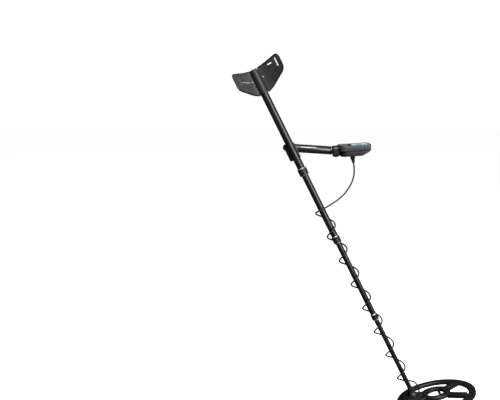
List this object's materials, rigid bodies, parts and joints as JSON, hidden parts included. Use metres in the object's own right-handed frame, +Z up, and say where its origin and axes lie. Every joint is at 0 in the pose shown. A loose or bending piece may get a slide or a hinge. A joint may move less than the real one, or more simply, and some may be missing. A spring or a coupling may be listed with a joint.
{
  "type": "metal detector",
  "caption": "Metal detector with a telescoping twist-lock shaft, arm cuff, grip with control box, wound cable and tilting round search coil.",
  "frame": {"origin": "middle of the hand grip, on the grip axis", "axes": "+Z up, +X from the arm cuff towards the coil, +Y to the user's left; the shaft slopes 63 degrees down in the XZ plane"},
  "size_m": [0.7786, 0.254, 1.1237],
  "materials": {
    "tube": "gloss black lacquer",
    "plastic": "satin moulded",
    "grey": "satin moulded",
    "rubber": "matt",
    "bright": "bright",
    "bezel": "printed behind a clear face",
    "lcd": "pale lit display",
    "board": "lacquered laminate",
    "battery": "wrapped cells",
    "copper": "enamelled copper wire",
    "key": "soft silicone"
  },
  "bodies": {
    "frame": {"upper_tube": "tube", "tube_end_cap": "rubber", "lock_collet_1": "grey", "handle_bracket": "grey", "bracket_screw_1": "bright", "bracket_screw_2": "bright", "handle_core": "tube", "grip_sleeve": "rubber", "handle_collar": "plastic", "handle_end_cap": "grey", "box_neck": "plastic", "box_base": "plastic", "box_front": "grey", "display_bezel": "bezel", "lcd_panel": "lcd", "circuit_board": "board", "speaker": "rubber", "battery_pack": "battery", "headphone_jack": "bright", "housing_screw_1": "bright", "housing_screw_2": "bright", "housing_screw_3": "bright", "housing_screw_4": "bright", "cable_socket": "grey", "strain_relief": "rubber", "cable_upper": "rubber"},
    "cuff": {"arm_cuff": "plastic", "cuff_screw": "bright"},
    "nut_1": {"lock_nut_1": "plastic"},
    "nut_2": {"lock_nut_2": "plastic"},
    "nut_3": {"lock_nut_3": "plastic"},
    "mid_1": {"mid_tube_1": "tube", "lock_collet_2": "grey", "cable_middle": "rubber"},
    "mid_2": {"mid_tube_2": "tube", "lock_collet_3": "grey", "cable_lower": "rubber"},
    "lower": {"lower_tube": "tube", "shaft_fork": "plastic", "coil_bolt": "bright", "pivot_washer_left": "rubber", "pivot_washer_right": "rubber", "cable_tail": "rubber"},
    "coil": {"coil_shell": "plastic", "coil_cover": "plastic", "coil_winding": "copper", "coil_gland": "rubber"},
    "knob": {"coil_knob": "plastic"},
    "plug": {"plug_ring": "plastic"},
    "door": {"battery_door": "plastic"},
    "key_power": {"key_power": "key"},
    "key_mode": {"key_mode": "key"},
    "key_sensitivity": {"key_sensitivity": "key"},
    "key_volume": {"key_volume": "key"},
    "key_pinpoint": {"key_pinpoint": "key"},
    "key_backlight": {"key_backlight": "key"},
    "key_down": {"key_down": "key"},
    "key_up": {"key_up": "key"}
  },
  "joints": [
    {"name": "upper_section_slide", "type": "slide", "parent": "frame", "child": "mid_1", "axis": [-0.4473, 0, 0.8944], "range_m": [0, 0.15], "deforming": ["cable_upper"]},
    {"name": "middle_section_slide", "type": "slide", "parent": "mid_1", "child": "mid_2", "axis": [-0.4473, 0, 0.8944], "range_m": [0, 0.2], "deforming": ["cable_middle"]},
    {"name": "lower_section_slide", "type": "slide", "parent": "mid_2", "child": "lower", "axis": [-0.4473, 0, 0.8944], "range_m": [0, 0.2], "deforming": ["cable_lower"]},
    {"name": "lock_nut_1_turn", "type": "hinge", "parent": "frame", "child": "nut_1", "pos_m": [-0.03984, -0.026, -0.06736], "axis": [0.4473, 0, -0.8944], "range_deg": [0, 90]},
    {"name": "lock_nut_2_turn", "type": "hinge", "parent": "mid_1", "child": "nut_2", "pos_m": [0.06751, -0.026, -0.28201], "axis": [0.4473, 0, -0.8944], "range_deg": [0, 90]},
    {"name": "lock_nut_3_turn", "type": "hinge", "parent": "mid_2", "child": "nut_3", "pos_m": [0.19186, -0.026, -0.53065], "axis": [0.4473, 0, -0.8944], "range_deg": [0, 90]},
    {"name": "cuff_swivel", "type": "hinge", "parent": "frame", "child": "cuff", "pos_m": [-0.1946, -0.026, 0.2421], "axis": [0.4473, 0, -0.8944], "range_deg": [-90, 0]},
    {"name": "coil_tilt", "type": "hinge", "parent": "lower", "child": "coil", "pos_m": [0.31844, -0.026, -0.78376], "axis": [0, 1, 0], "range_deg": [-60, 40], "deforming": ["cable_tail"]},
    {"name": "coil_knob_turn", "type": "hinge", "parent": "lower", "child": "knob", "pos_m": [0.31844, -0.026, -0.78376], "axis": [0, 1, 0], "continuous": true},
    {"name": "plug_ring_turn", "type": "hinge", "parent": "frame", "child": "plug", "pos_m": [0.11731, 0, -0.02521], "axis": [0.16, 0, -0.9871], "range_deg": [0, 90]},
    {"name": "battery_door_hinge", "type": "hinge", "parent": "frame", "child": "door", "pos_m": [0.0822, 0, -0.021], "axis": [0, 1, 0], "range_deg": [0, 85]},
    {"name": "key_power_press", "type": "slide", "parent": "frame", "child": "key_power", "axis": [0.0698, 0, -0.9976], "range_m": [0, 0.0012], "stiffness_N_per_m": 250},
    {"name": "key_mode_press", "type": "slide", "parent": "frame", "child": "key_mode", "axis": [0.0698, 0, -0.9976], "range_m": [0, 0.0012], "stiffness_N_per_m": 250},
    {"name": "key_sensitivity_press", "type": "slide", "parent": "frame", "child": "key_sensitivity", "axis": [0.0698, 0, -0.9976], "range_m": [0, 0.0012], "stiffness_N_per_m": 250},
    {"name": "key_volume_press", "type": "slide", "parent": "frame", "child": "key_volume", "axis": [0.0698, 0, -0.9976], "range_m": [0, 0.0012], "stiffness_N_per_m": 250},
    {"name": "key_pinpoint_press", "type": "slide", "parent": "frame", "child": "key_pinpoint", "axis": [0.0698, 0, -0.9976], "range_m": [0, 0.0012], "stiffness_N_per_m": 250},
    {"name": "key_backlight_press", "type": "slide", "parent": "frame", "child": "key_backlight", "axis": [0.0698, 0, -0.9976], "range_m": [0, 0.0012], "stiffness_N_per_m": 250},
    {"name": "key_down_press", "type": "slide", "parent": "frame", "child": "key_down", "axis": [0.0698, 0, -0.9976], "range_m": [0, 0.0012], "stiffness_N_per_m": 250},
    {"name": "key_up_press", "type": "slide", "parent": "frame", "child": "key_up", "axis": [0.0698, 0, -0.9976], "range_m": [0, 0.0012], "stiffness_N_per_m": 250}
  ]
}
